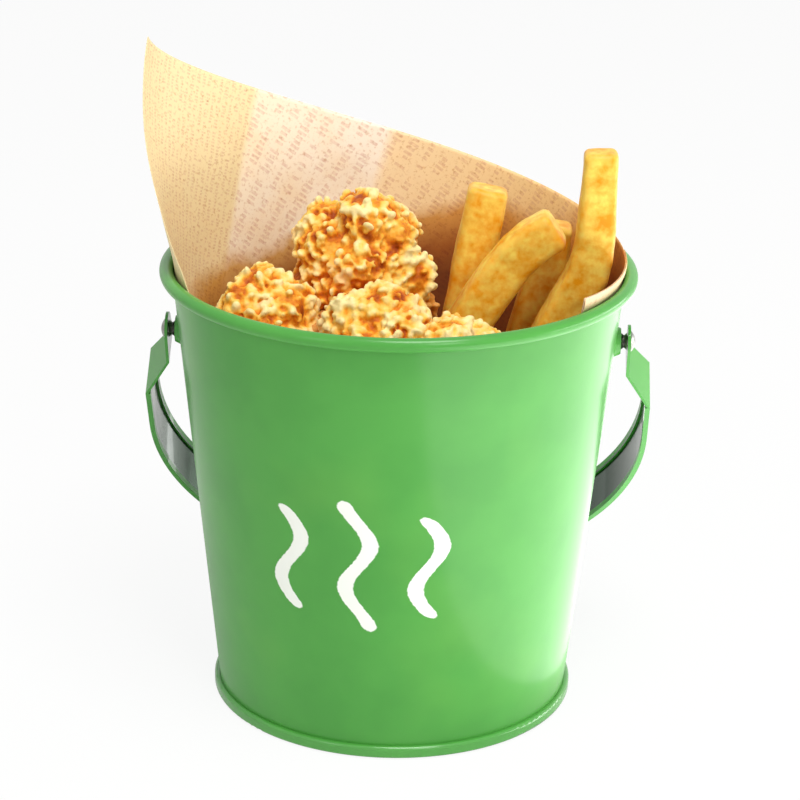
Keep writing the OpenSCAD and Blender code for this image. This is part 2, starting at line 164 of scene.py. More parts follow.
# Bare tin where the sheet faces the axis, below the rolled bead.
facing = add(tree, "TexCoord").outputs["Normal"]
outward = add(tree, "VectorMath", {0: place, 1: (1.0, 1.0, 0.0)}, operation="MULTIPLY").outputs[0]
outward = add(tree, "VectorMath", {0: outward}, operation="NORMALIZE").outputs[0]
inward = add(tree, "VectorMath", {0: outward, 1: facing}, operation="DOT_PRODUCT").outputs["Value"]
inside = add(tree, "Math", {0: inward, 1: -0.3}, operation="LESS_THAN").outputs[0]
below = add(tree, "Math", {0: z, 1: PAIL_HEIGHT - 0.9 * RIM_BEAD}, operation="LESS_THAN").outputs[0]
inside = add(tree, "Math", {0: inside, 1: below}, operation="MULTIPLY").outputs[0]
colour = add(tree, "MixRGB", {"Fac": printed, "Color1": green, "Color2": linear(PRINT_WHITE)}).outputs[0]
colour = add(tree, "MixRGB", {"Fac": inside, "Color1": colour, "Color2": linear(TIN)}).outputs[0]
tree.links.new(colour, shader.inputs["Base Color"])
tree.links.new(inside, shader.inputs["Metallic"])
finish_cad("pail_body", pail_finish)

# Base plate. A pressed disc of the same tinplate, its edge folded round the foot of the body and
# squeezed flat, which leaves the round seam that the pail stands on. Lacquered with the body.
base_finish, _, shader, _, _ = baked_lacquer("baked_lacquer_base")
shader.inputs["Coat Weight"].default_value = 1.0
shader.inputs["Coat Roughness"].default_value = 0.16
finish_cad("base_plate", base_finish)

# Rivets. Shouldered steel rivets, zinc plated, set through the ears with their heads outside; the
# handle's eyes turn on the shoulders.
ZINC_DARK = "#7b7a75"
ZINC_LIGHT = "#a5a49e"
rivet_finish, tree, shader = start_material("zinc_plated_steel")
place = add(tree, "TexCoord").outputs["Object"]
grain = add(tree, "TexNoise", {"Vector": place, "Scale": 1 / (0.8 * MM), "Detail": 3.0})
plate = add(tree, "ValToRGB", {"Fac": grain.outputs["Fac"]}, stops=[(0.3, ZINC_DARK), (0.7, ZINC_LIGHT)])
tree.links.new(plate.outputs["Color"], shader.inputs["Base Color"])
satin = add(tree, "MapRange", {"Value": grain.outputs["Fac"], "To Min": 0.25, "To Max": 0.42})
tree.links.new(satin.outputs[0], shader.inputs["Roughness"])
shader.inputs["Metallic"].default_value = 1.0
for name in ("left_rivet", "right_rivet"):
    finish_cad(name, rivet_finish)

# Handle. One strap of steel with both long edges hemmed over, bent to a bow and joggled out past the
# rim bead, pierced at the ends for the rivets. Lacquered like the pail, green outside and over the hems;
# along the inner face between the hems it is painted a dark, mirror-like green-black: painted shade where
# that face lies in shadow.
PIVOT = Vector((0, 0, 104 * MM))
HANG = math.radians(33.6)
BOW_DROP = 34.5 * MM
BOW_CENTRE = PIVOT + BOW_DROP * Vector((0, math.sin(HANG), -math.cos(HANG)))
INNER_FACE_HALF = 6.3 * MM
INNER_FACE_SHADE = "#243a28"
HEM_ROUGHNESS = 0.42
handle_finish, tree, shader, green, place = baked_lacquer("baked_lacquer_handle")
facing = add(tree, "TexCoord").outputs["Normal"]
toward = add(tree, "VectorMath", {0: tuple(BOW_CENTRE), 1: place}, operation="SUBTRACT").outputs[0]
toward = add(tree, "VectorMath", {0: toward}, operation="NORMALIZE").outputs[0]
inner = add(tree, "VectorMath", {0: toward, 1: facing}, operation="DOT_PRODUCT").outputs["Value"]
inner = add(tree, "Math", {0: inner, 1: 0.4}, operation="GREATER_THAN").outputs[0]
off_middle = add(tree, "VectorMath", {0: place, 1: tuple(PIVOT)}, operation="SUBTRACT").outputs[0]
off_middle = add(tree, "VectorMath", {0: off_middle, 1: (0.0, math.cos(HANG), math.sin(HANG))},
                 operation="DOT_PRODUCT").outputs["Value"]
off_middle = add(tree, "Math", {0: off_middle}, operation="ABSOLUTE").outputs[0]
between = add(tree, "Math", {0: off_middle, 1: INNER_FACE_HALF}, operation="LESS_THAN").outputs[0]
shaded_inner_face = add(tree, "Math", {0: inner, 1: between}, operation="MULTIPLY").outputs[0]
# The inner face between the hems gets the dark colour: painted shade.
colour = add(tree, "MixRGB", {"Fac": shaded_inner_face, "Color1": green, "Color2": linear(INNER_FACE_SHADE)}).outputs[0]
tree.links.new(colour, shader.inputs["Base Color"])
tree.links.new(shaded_inner_face, shader.inputs["Metallic"])
streak = add(tree, "VectorMath", {0: place, 1: (0.2, 1.0, 1.0)}, operation="MULTIPLY").outputs[0]
streak = add(tree, "TexNoise", {"Vector": streak, "Scale": 1 / (5 * MM), "Detail": 3.0})
polish = add(tree, "MapRange", {"Value": streak.outputs["Fac"], "To Min": 0.12, "To Max": 0.36}).outputs[0]
dull = add(tree, "Mix", {"Factor": shaded_inner_face, "A": HEM_ROUGHNESS, "B": polish}).outputs["Result"]
tree.links.new(dull, shader.inputs["Roughness"])
shader.inputs["Coat Roughness"].default_value = 0.05
finish_cad("handle", handle_finish)

# Paper liner. One rectangle of thin greaseproof paper with a faint warm print, curled into an open
# cone inside the rim, so that one corner stands tall at the back left and the ends meet low in front.
SHEET_BACK = 221 * MM
SHEET_FRONT = 24 * MM
SHEET_TOP = 398.85 * MM
SHEET_FOOT = 274.4 * MM
CONE_HALF = math.radians(8.882)
APEX_Z = -266.56 * MM
SHEET_LOW_AT = math.radians(-14)
CAD_PAPER = 0.4 * MM
PAPER = 0.16 * MM
LEFT_FOLD = 163 * MM
RIGHT_FOLD = 121 * MM
FOLD_WIDTH = 5 * MM
FREE_FROM_Z = 128 * MM
FREE_HEIGHT = 55 * MM
CURL_FROM = 150 * MM
TURNED_LENGTH = 46 * MM
PAPER_INK = "#cf8f70"
FAT_STAIN = "#f6cf94"
SOAK_AND_SHADE_STARTS = 151 * MM
SOAK_AND_SHADE_FULL = 126 * MM
SOAK_AND_SHADE_RAGGED = 26 * MM
SOAK_AND_SHADE_LEAN = 0.13
FINE_ROW = 2.4 * MM
LARGE_ROW = 5.0 * MM
LARGE_ROW_LEAN = math.radians(-16)
TURNED_EDGE = 4.2 * MM


def on_cone(along, up, out=0.0):
    """The point of the flat sheet at (along, up) once it is curled, moved outward by out."""
    from_apex = math.hypot(along, up)
    turn = SHEET_LOW_AT + math.atan2(along, up) / math.sin(CONE_HALF)
    radius = from_apex * math.sin(CONE_HALF) - CAD_PAPER / 2 + out
    return (radius * math.cos(turn), radius * math.sin(turn), APEX_Z + from_apex * math.cos(CONE_HALF))


def grid_piece(name, columns, rows, point, flat):
    """A mesh object over a grid; its UV map keeps the flat position in metres."""
    across = np.linspace(0, 1, columns)
    upward = np.linspace(0, 1, rows)
    points = [point(a, b) for b in upward for a in across]
    faces = [(r * columns + c, r * columns + c + 1, (r + 1) * columns + c + 1, (r + 1) * columns + c)
             for r in range(rows - 1) for c in range(columns - 1)]
    mesh = bpy.data.meshes.new(name)
    mesh.from_pydata(points, [], faces)
    laid_flat = [flat(a, b) for b in upward for a in across]
    layer = mesh.uv_layers.new(name="flat_sheet")
    for loop in mesh.loops:
        layer.data[loop.index].uv = laid_flat[loop.vertex_index]
    mesh.polygons.foreach_set("use_smooth", [True] * len(mesh.polygons))
    piece = bpy.data.objects.new(name, mesh)
    bpy.context.scene.collection.objects.link(piece)
    return piece


def sheet_flat(a, b):
    """The place on the flat sheet, from shares of its length and its width."""
    return (-SHEET_FRONT + a * (SHEET_BACK + SHEET_FRONT), SHEET_FOOT + b * (SHEET_TOP - SHEET_FOOT))


def sheet_point(a, b):
    """The same place on the curled sheet, which waves, creases and bows where it stands free."""
    along, up = sheet_flat(a, b)
    above_rim = (on_cone(along, up)[2] - FREE_FROM_Z) / FREE_HEIGHT
    if above_rim <= 0:
        return on_cone(along, up)
    free = min(above_rim * 4, 1.0)
    sway = noise.noise(Vector((along / (38 * MM), up / (30 * MM), 3.1))) * 0.8 * MM
    crease = 0.0
    for at, lean, soak_and_shade_depth in ((LEFT_FOLD, 0.10, 0.8 * MM), (RIGHT_FOLD, 0.02, 0.6 * MM)):
        aside = abs(along - at - lean * (up - 380 * MM)) / FOLD_WIDTH
        crease += soak_and_shade_depth * max(1 - aside, 0.0)
    at_end = max((along - CURL_FROM) / (SHEET_BACK - CURL_FROM), 0.0) ** 2
    bow = at_end * (7.5 * MM * above_rim * (1 - above_rim) - 1.2 * MM * above_rim ** 3)
    return on_cone(along, up, free * (sway + crease) + bow)


paper = grid_piece("paper_sheet", 246, 126, sheet_point, sheet_flat)
turned = grid_piece(
    "paper_turned_edge", 46, 8,
    lambda a, b: on_cone(-SHEET_FRONT + a * TURNED_LENGTH, SHEET_TOP - b * TURNED_EDGE * (1 - 0.7 * a),
                         0.25 * MM + 0.25 * MM * math.sin(math.pi * b)),
    lambda a, b: (-SHEET_FRONT + a * TURNED_LENGTH, SHEET_TOP - b * TURNED_EDGE))
for piece in (paper, turned):
    thick = piece.modifiers.new("thickness", "SOLIDIFY")
    thick.thickness = PAPER
    thick.offset = 0.0

# Greaseproof paper, machine calendered: a matt, slightly waxy sheet that goes warm and translucent
# where it has taken up fat. The print is only rows of broken strokes, drawn as bars.
paper_finish, tree, shader = start_material("greaseproof_paper")
flat = add(tree, "UVMap", uv_map="flat_sheet").outputs["UV"]
along = add(tree, "SeparateXYZ", {"Vector": flat}).outputs["X"]
# The sheet's tone changes panel by panel at the creases and goes warmer orange towards the front right:
# partly the paper's own tone, partly painted light and shade from how each panel faces the lamps and the
# warm light thrown back by the food.
panel = add(tree, "MapRange", {"Value": along, "From Min": -SHEET_FRONT, "From Max": SHEET_BACK}).outputs[0]
panel = add(tree, "ValToRGB", {"Fac": panel}, stops=[
    (0.0, "#f3cfa6"), (0.11, "#f4d2a8"), (0.16, "#f8cb80"), (0.37, "#fcd592"), (0.58, "#fbdcac"),
    (0.594, "#fff0db"), (0.758, "#fdebcd"), (0.767, "#f6dfa9"), (1.0, "#f4dea8")])
fat = add(tree, "TexNoise", {"Vector": flat, "Scale": 1 / (26 * MM), "Detail": 5.0, "Roughness": 0.6})
soaked = add(tree, "ValToRGB", {"Fac": fat.outputs["Fac"]}, stops=[(0.48, 0.0), (0.75, 0.5)])
tone = add(tree, "MixRGB", {"Fac": soaked.outputs["Color"], "Color1": panel.outputs["Color"],
                            "Color2": linear(FAT_STAIN)}).outputs[0]

# Rows of broken bars: fine upright ones on the left panel, larger leaning ones to the right.
leaning = add(tree, "VectorRotate", {"Vector": flat, "Angle": LARGE_ROW_LEAN}, rotation_type="Z_AXIS")
inked = []
for rows, pitch, letter in ((flat, FINE_ROW, 0.9 * MM), (leaning.outputs[0], LARGE_ROW, 1.5 * MM)):
    spread = add(tree, "SeparateXYZ", {"Vector": rows})
    row = add(tree, "Math", {0: spread.outputs["X"], 1: pitch}, operation="DIVIDE").outputs[0]
    whole = add(tree, "Math", {0: row}, operation="FLOOR").outputs[0]
    off_row = add(tree, "Math", {0: row}, operation="FRACT").outputs[0]
    off_row = add(tree, "Math", {0: off_row, 1: 0.5}, operation="SUBTRACT").outputs[0]
    off_row = add(tree, "Math", {0: off_row}, operation="ABSOLUTE").outputs[0]
    step = add(tree, "Math", {0: spread.outputs["Y"], 1: letter}, operation="DIVIDE").outputs[0]
    mark = add(tree, "Math", {0: step}, operation="FLOOR").outputs[0]
    mark = add(tree, "CombineXYZ", {"X": mark, "Y": whole}).outputs[0]
    chance = add(tree, "TexWhiteNoise", {"Vector": mark}, noise_dimensions="3D").outputs["Value"]
    reach = add(tree, "MapRange", {"Value": chance, "From Min": 0.2, "To Min": 0.12,
                                   "To Max": 0.34}).outputs[0]
    tall = add(tree, "Math", {0: off_row, 1: reach}, operation="LESS_THAN").outputs[0]
    off_mark = add(tree, "Math", {0: step}, operation="FRACT").outputs[0]
    wide = add(tree, "Math", {0: off_mark, 1: 0.62}, operation="LESS_THAN").outputs[0]
    there = add(tree, "Math", {0: chance, 1: 0.24}, operation="GREATER_THAN").outputs[0]
    bar = add(tree, "Math", {0: tall, 1: wide}, operation="MULTIPLY").outputs[0]
    inked.append(add(tree, "Math", {0: bar, 1: there}, operation="MULTIPLY").outputs[0])
left_panel = add(tree, "Math", {0: along, 1: LEFT_FOLD}, operation="GREATER_THAN").outputs[0]
ink = add(tree, "Mix", {"Factor": left_panel, "A": inked[1], "B": inked[0]}).outputs["Result"]
worn = add(tree, "TexNoise", {"Vector": flat, "Scale": 1 / (1.1 * MM), "Detail": 2.0})
worn = add(tree, "MapRange", {"Value": worn.outputs["Fac"], "From Min": 0.3, "From Max": 0.7,
                              "To Min": 0.08, "To Max": 0.5}).outputs[0]
ink = add(tree, "Math", {0: ink, 1: worn}, operation="MULTIPLY").outputs[0]

# Only the side that faces the food is printed.
facing = add(tree, "TexCoord").outputs
outward = add(tree, "VectorMath", {0: facing["Object"], 1: (1.0, 1.0, 0.0)},
              operation="MULTIPLY").outputs[0]
inner_side = add(tree, "VectorMath", {0: outward, 1: facing["Normal"]},
                 operation="DOT_PRODUCT").outputs["Value"]
inner_side = add(tree, "Math", {0: inner_side, 1: 0.0}, operation="LESS_THAN").outputs[0]
ink = add(tree, "Math", {0: ink, 1: inner_side}, operation="MULTIPLY").outputs[0]
tone = add(tree, "MixRGB", {"Fac": ink, "Color1": tone, "Color2": linear(PAPER_INK)}).outputs[0]

# Low down the sheet is painted brown, darker the lower it goes: painted shade from the food and the pail's
# wall, together with the brown of fat where the sheet lies against the hot food.
stand = add(tree, "SeparateXYZ", {"Vector": facing["Object"]}).outputs["Z"]
ragged = add(tree, "Math", {0: fat.outputs["Fac"], 1: SOAK_AND_SHADE_RAGGED, 2: stand},
             operation="MULTIPLY_ADD").outputs[0]
ragged = add(tree, "Math", {0: along, 1: SOAK_AND_SHADE_LEAN, 2: ragged}, operation="MULTIPLY_ADD").outputs[0]
soak_and_shade_depth = add(tree, "MapRange", {"Value": ragged, "From Min": SOAK_AND_SHADE_STARTS, "From Max": SOAK_AND_SHADE_FULL}).outputs[0]
soak_and_shade_depth = add(tree, "Math", {0: soak_and_shade_depth, 1: inner_side}, operation="MULTIPLY").outputs[0]
# From the sheet's own tone down to dark brown: painted shade, with the fat stain.
soak_and_shade = add(tree, "ValToRGB", {"Fac": soak_and_shade_depth}, stops=[
    (0.0, "#ffffff"), (0.25, "#d9b070"), (0.65, "#a66c2e"), (1.0, "#7c4717")])
tone = add(tree, "MixRGB", {"Fac": 1.0, "Color1": tone, "Color2": soak_and_shade.outputs["Color"]},
           blend_type="MULTIPLY").outputs[0]

# Specks in the pulp, about a millimetre across, which also give the sheet its faint tooth.
fibre = add(tree, "TexNoise", {"Vector": flat, "Scale": 1 / (1.2 * MM), "Detail": 3.0, "Roughness": 0.7})
pulp = add(tree, "ValToRGB", {"Fac": fibre.outputs["Fac"]}, stops=[(0.3, "#d0a87e"), (0.46, "#ffffff")])
tone = add(tree, "MixRGB", {"Fac": 0.6, "Color1": tone, "Color2": pulp.outputs["Color"]},
           blend_type="MULTIPLY").outputs[0]
tree.links.new(tone, shader.inputs["Base Color"])
bump = add(tree, "Bump", {"Height": fibre.outputs["Fac"], "Strength": 0.25, "Distance": 0.15 * MM})
tree.links.new(bump.outputs["Normal"], shader.inputs["Normal"])
shader.inputs["Roughness"].default_value = 0.6
for piece in (paper, turned):
    piece.data.materials.append(paper_finish)
    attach(piece, "pail")
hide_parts("paper_liner")

# Fried chicken. Pieces of jointed chicken dredged in seasoned flour and deep fried; the flour puffs
# into knobs and flakes, coloured pale gold where it stands proud and red-brown down in the crevices:
# partly the crust's own browning, partly painted shade in the crevices and painted highlight on the tips.
LIT = ("chicken_left", "chicken_middle", "chicken_front", "chicken_right")
SHADED = ("chicken_shaded", "chicken_inner")
SEEN = LIT + SHADED
UNDER = ("chicken_low_right", "chicken_low_left", "chicken_low_front", "chicken_under_fries",
         "chicken_mid_left", "chicken_mid_front_left", "chicken_mid_front_right", "chicken_core")
LUMPS = 34
CRUMBS_FROM_Z = 92 * MM
# Tones from the crevices up to the crumbs' tips: on the pieces in the light, then a darker copy, painted
# shade, for the pieces down in the heap and in the gaps between them.
CRUST_TONES = ((0.04, "#a04204"), (0.2, "#d2700c"), (0.36, "#f4a930"), (0.52, "#fdcf64"), (0.8, "#ffe8a4"))
SHADED_CRUST_TONES = ((0.04, "#4a1a06"), (0.18, "#6f2f0b"), (0.33, "#9c5115"), (0.5, "#c07a2c"), (0.8, "#d79c4e"))
CRUST_RED = "#f4a878"


def mesh_arrays(mesh):
    """A mesh's corners and triangles as arrays."""
    corners = np.empty(len(mesh.vertices) * 3)
    mesh.vertices.foreach_get("co", corners)
    mesh.calc_loop_triangles()
    triangles = np.empty(len(mesh.loop_triangles) * 3, dtype=np.int64)
    mesh.loop_triangles.foreach_get("vertices", triangles)
    return corners.reshape(-1, 3), triangles.reshape(-1, 3)


def merged_copy(node):
    """The CAD solid's corners and triangles with coincident corners joined, as arrays."""
    micron = 1e-6
    corners, triangles = mesh_arrays(nodes[node].data)
    keys, index = np.unique(np.round(corners / micron).astype(np.int64), axis=0, return_inverse=True)
    i, j, k = index.reshape(-1)[triangles].T
    whole = (i != j) & (j != k) & (i != k)
    return keys * micron, np.stack((i, j, k), axis=1)[whole]


def voxel_piece(name, points, triangles, voxel, smooth):
    """A new object: these triangles melted together on a voxel grid and smoothed."""
    mesh = bpy.data.meshes.new(name + "_rough")
    mesh.from_pydata(points.tolist(), [], triangles.tolist())
    rough = bpy.data.objects.new(name + "_rough", mesh)
    bpy.context.scene.collection.objects.link(rough)
    melt = rough.modifiers.new("melt", "REMESH")
    melt.mode = "VOXEL"
    melt.voxel_size = voxel
    soften = rough.modifiers.new("soften", "SMOOTH")
    soften.iterations = smooth
    soften.factor = 0.5
    graph = bpy.context.evaluated_depsgraph_get()
    made = bpy.data.meshes.new_from_object(rough.evaluated_get(graph))
    bpy.data.objects.remove(rough)
    bpy.data.meshes.remove(mesh)
    made.name = name
    made.polygons.foreach_set("use_smooth", [True] * len(made.polygons))
    piece = bpy.data.objects.new(name, made)
    bpy.context.scene.collection.objects.link(piece)
    return piece


def scattered(points, triangles, count, rng, lowest):
    """Random places on the surface above a height, with the surface's direction at each."""
    a, b, c = (points[triangles[:, k]] for k in range(3))
    normals = np.cross(b - a, c - a)
    areas = np.linalg.norm(normals, axis=1)
    normals = normals / np.maximum(areas, 1e-15)[:, None]
    areas = areas * ((a[:, 2] + b[:, 2] + c[:, 2]) / 3 > lowest)
    chosen = rng.choice(len(triangles), size=count, p=areas / areas.sum())
    u, v = rng.random((2, count))
    folded = u + v > 1
    u, v = np.where(folded, 1 - u, u)[:, None], np.where(folded, 1 - v, v)[:, None]
    places = a[chosen] + u * (b[chosen] - a[chosen]) + v * (c[chosen] - a[chosen])
    return places, normals[chosen]


def round_knob():
    """Corners and triangles of a small round knob."""
    golden = (1 + math.sqrt(5)) / 2
    corners = [(-1, golden, 0), (1, golden, 0), (-1, -golden, 0), (1, -golden, 0), (0, -1, golden),
               (0, 1, golden), (0, -1, -golden), (0, 1, -golden), (golden, 0, -1), (golden, 0, 1),
               (-golden, 0, -1), (-golden, 0, 1)]
    triangles = [(0, 11, 5), (0, 5, 1), (0, 1, 7), (0, 7, 10), (0, 10, 11), (1, 5, 9), (5, 11, 4),
                 (11, 10, 2), (10, 7, 6), (7, 1, 8), (3, 9, 4), (3, 4, 2), (3, 2, 6), (3, 6, 8), (3, 8, 9),
                 (4, 9, 5), (2, 4, 11), (6, 2, 10), (8, 6, 7), (9, 8, 1)]
    corners = [Vector(p).normalized() for p in corners]
    halves, finer = {}, []
    for i, j, k in triangles:
        middles = []
        for p, q in ((i, j), (j, k), (k, i)):
            edge = (min(p, q), max(p, q))
            if edge not in halves:
                halves[edge] = len(corners)
                corners.append(((corners[p] + corners[q]) / 2).normalized())
            middles.append(halves[edge])
        m, n, o = middles
        finer += [(i, m, o), (m, j, n), (o, n, k), (m, n, o)]
    return np.array([tuple(p) for p in corners]), np.array(finer)


def grains(places, directions, lengths, widths, thicknesses, rng):
    """One stretched, flattened knob at each place, all as one set of corners and triangles."""
    across = np.cross(directions, rng.normal(size=directions.shape))
    across /= np.linalg.norm(across, axis=1)[:, None]
    third = np.cross(directions, across)
    corners, faces = round_knob()
    made = (places[:, None, :] + directions[:, None, :] * (corners[None, :, :1] * lengths[:, None, None])
            + across[:, None, :] * (corners[None, :, 1:2] * widths[:, None, None])
            + third[:, None, :] * (corners[None, :, 2:] * thicknesses[:, None, None]))
    shift = np.arange(len(places))[:, None, None] * len(corners)
    return made.reshape(-1, 3), (faces[None, :, :] + shift).reshape(-1, 3)


def crusted(node, lump_voxel, crumb_voxel, crumbs, seed, lowest):
    """The solid grown over with lumps and then with crumbs, each point's height over the lumps kept."""
    rng = np.random.default_rng(seed)
    points, triangles = merged_copy(node)
    a, b, c = (points[triangles[:, k]] for k in range(3))
    at_corner = np.zeros_like(points)
    for k in range(3):
        np.add.at(at_corner, triangles[:, k], np.cross(b - a, c - a))
    at_corner /= np.maximum(np.linalg.norm(at_corner, axis=1), 1e-15)[:, None]
    hollow = np.array([noise.noise(Vector(p / (11 * MM)) + Vector((seed, 0, 0))) for p in points])
    core = points - at_corner * (MM * (2.2 + 2.0 * hollow))[:, None]
    places, normals = scattered(points, triangles, LUMPS, rng, 0.0)
    sizes = MM * (3.0 + 4.0 * rng.random(LUMPS))
    sunk = sizes * (0.55 + 0.4 * rng.random(LUMPS))
    lump_points, lump_faces = grains(places - normals * sunk[:, None], normals, sizes, sizes * 1.1,
                                     sizes * 1.1, rng)
    lumpy = voxel_piece(node + "_lumps", np.vstack((core, lump_points)),
                        np.vstack((triangles, lump_faces + len(core))), lump_voxel, 2)
    points, triangles = mesh_arrays(lumpy.data)
    places, normals = scattered(points, triangles, crumbs, rng, lowest)
    crowd = np.array([noise.noise(Vector(p / (6 * MM)) + Vector((0, seed, 0))) for p in places])
    kept = rng.random(crumbs) < 0.76 + 1.1 * crowd
    places, normals, crowd = places[kept], normals[kept], crowd[kept]
    count = len(places)
    directions = normals * (1.3 * rng.random(count))[:, None] + rng.normal(size=(count, 3)) * 0.6
    directions /= np.linalg.norm(directions, axis=1)[:, None]
    widths = MM * (0.42 + 0.8 * rng.random(count) ** 3)
    lengths = widths * (1.0 + 0.6 * rng.random(count))
    lift = widths * (0.2 + 1.0 * rng.random(count)) + MM * np.maximum(crowd, 0)
    lifted = places + normals * lift[:, None]
    flat = 0.35 + 0.65 * rng.random(count)
    crumb_points, crumb_faces = grains(lifted, directions, lengths, widths / np.sqrt(flat),
                                       widths * np.sqrt(flat), rng)
    piece = voxel_piece(node + "_crust", np.vstack((points, crumb_points)),
                        np.vstack((triangles, crumb_faces + len(points))), crumb_voxel, 1)
    mesh = piece.data
    surface = BVHTree.FromPolygons(points.tolist(), triangles.tolist())
    made, _ = mesh_arrays(mesh)
    height = np.empty(len(made))
    for k, corner in enumerate(made):
        near, normal, _, _ = surface.find_nearest(corner)
        height[k] = (Vector(corner) - near).dot(normal)
    room = (made[:, 2] - APEX_Z) * math.tan(CONE_HALF) - CAD_PAPER - PAPER
    out = np.hypot(made[:, 0], made[:, 1])
    made[:, :2] *= np.minimum(1, room / np.maximum(out, 1e-9))[:, None]
    mesh.vertices.foreach_set("co", made.reshape(-1))
    layer = mesh.attributes.new("crust_height", "FLOAT", "POINT")
    layer.data.foreach_set("value", height / MM)
    mesh.update()
    bpy.data.objects.remove(lumpy)
    return piece


def fried_flour(name, tones):
    """Fried flour crust: dry and rough, with a thin film of oil that gives small dull glints."""
    material, tree, shader = start_material(name)
    place = add(tree, "TexCoord").outputs["Object"]
    height = add(tree, "Attribute", attribute_name="crust_height").outputs["Fac"]
    mottle = add(tree, "TexNoise", {"Vector": place, "Scale": 1 / (5 * MM), "Detail": 4.0,
                                    "Roughness": 0.6})
    shift = add(tree, "MapRange", {"Value": mottle.outputs["Fac"], "From Min": 0.3, "From Max": 0.7,
                                   "To Min": -0.8, "To Max": 0.8})
    # The colour follows the height over the lumps: red-brown low down is partly painted shade in the
    # crevices, pale gold on top partly painted highlight.
    level = add(tree, "Math", {0: height, 1: shift.outputs[0]}, operation="ADD").outputs[0]
    level = add(tree, "MapRange", {"Value": level, "From Min": -0.65, "From Max": 2.7}).outputs[0]
    golden = add(tree, "ValToRGB", {"Fac": level}, stops=tones)
    spice = add(tree, "TexNoise", {"Vector": place, "Scale": 1 / (13 * MM), "Detail": 2.0})
    red_at = add(tree, "ValToRGB", {"Fac": spice.outputs["Fac"]}, stops=[(0.55, 0.0), (0.75, 0.4)])
    colour = add(tree, "MixRGB", {"Fac": red_at.outputs["Color"], "Color1": golden.outputs["Color"],
                                  "Color2": linear(CRUST_RED)}, blend_type="MULTIPLY")
    tree.links.new(colour.outputs["Color"], shader.inputs["Base Color"])
    crumb = add(tree, "TexNoise", {"Vector": place, "Scale": 1 / (0.9 * MM), "Detail": 4.0,
                                   "Roughness": 0.65})
    bump = add(tree, "Bump", {"Height": crumb.outputs["Fac"], "Strength": 0.8, "Distance": 0.5 * MM})
    tree.links.new(bump.outputs["Normal"], shader.inputs["Normal"])
    oily = add(tree, "MapRange", {"Value": crumb.outputs["Fac"], "To Min": 0.28, "To Max": 0.6})
    tree.links.new(oily.outputs[0], shader.inputs["Roughness"])
    shader.inputs["Specular IOR Level"].default_value = 0.25
    shader.inputs["Subsurface Weight"].default_value = 0.06
    shader.inputs["Subsurface Radius"].default_value = (1.6 * MM, 0.8 * MM, 0.3 * MM)
    return material


crust_finish = fried_flour("fried_flour_crust", CRUST_TONES)
shaded_crust_finish = fried_flour("fried_flour_crust_painted_shade", SHADED_CRUST_TONES)
for number, node in enumerate(SEEN + UNDER):
    if node in SEEN:
        piece = crusted(node, 1.0 * MM, 0.43 * MM, 3800, 40 + number, CRUMBS_FROM_Z)
    else:
        piece = crusted(node, 1.6 * MM, 1.2 * MM, 500, 40 + number, 0.0)
    # The pieces low in the heap and in the gaps get the darker copy: painted shade.
    piece.data.materials.append(crust_finish if node in LIT else shaded_crust_finish)
    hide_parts(node)
    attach(piece, "pail")

# Fries. Thick-cut potato sticks, deep fried: soft golden sides, edges browned and a little blistered,
# standing in the heap with their lower ends between the chicken pieces.
FRY_GOLD = "#ee9e0c"
FRY_PALE = "#ffe066"
FRY_BROWN = "#c87a08"


def fried_stick(node, voxel, seed):
    """The solid melted smooth, slightly wrinkled, with the turn of its edges kept as a value."""
    points, triangles = merged_copy(node)
    piece = voxel_piece(node + "_stick", points, triangles, voxel, 3)
    mesh = piece.data
    count = len(mesh.vertices)
    place, _ = mesh_arrays(mesh)
    normal = np.empty(count * 3)
    mesh.vertices.foreach_get("normal", normal)
    normal = normal.reshape(-1, 3)
    ends = np.empty(len(mesh.edges) * 2, dtype=np.int64)
    mesh.edges.foreach_get("vertices", ends)
    ends = ends.reshape(-1, 2)
    neighbours = np.bincount(ends.reshape(-1), minlength=count)[:, None]

    def mean_of_neighbours(values):
        total = np.zeros_like(values)
        np.add.at(total, ends[:, 0], values[ends[:, 1]])
        np.add.at(total, ends[:, 1], values[ends[:, 0]])
        return total / neighbours

    bend = ((place - mean_of_neighbours(place)) * normal).sum(axis=1)[:, None]
    for _ in range(8):
        bend = mean_of_neighbours(bend)
    bend = np.clip(bend[:, 0] / np.percentile(bend, 97), 0, 1)
    wrinkle = np.array([noise.fractal(Vector(p / (5 * MM)) + Vector((seed, 0, 0)), 1.0, 2.0, 3)
                        for p in place])
    wave = np.array([noise.noise(Vector(p / (15 * MM)) + Vector((0, seed, 0))) for p in place])
    place += normal * (wrinkle * 0.16 * MM + wave * 0.6 * MM - 0.05 * MM)[:, None]
    mesh.vertices.foreach_set("co", place.reshape(-1))
    layer = mesh.attributes.new("fry_edge", "FLOAT", "POINT")
    layer.data.foreach_set("value", bend)
    mesh.update()
    return piece


# Fried potato: a thin set skin over soft starch, with light passing a little way in and a film of oil.
fry_finish, tree, shader = start_material("fried_potato_skin")
place = add(tree, "TexCoord").outputs["Object"]
edge = add(tree, "Attribute", attribute_name="fry_edge").outputs["Fac"]
blotch = add(tree, "TexNoise", {"Vector": place, "Scale": 1 / (8 * MM), "Detail": 4.0, "Roughness": 0.6})
fleck = add(tree, "TexNoise", {"Vector": place, "Scale": 1 / (2.2 * MM), "Detail": 3.0})
mealy = add(tree, "Math", {0: fleck.outputs["Fac"], 1: 0.4}, operation="MULTIPLY").outputs[0]
mealy = add(tree, "Math", {0: blotch.outputs["Fac"], 1: 0.6, 2: mealy}, operation="MULTIPLY_ADD").outputs[0]
sides = add(tree, "ValToRGB", {"Fac": mealy}, stops=[(0.38, FRY_GOLD), (0.62, FRY_PALE)])
browned = add(tree, "Math", {0: edge, 1: fleck.outputs["Fac"]}, operation="MULTIPLY").outputs[0]
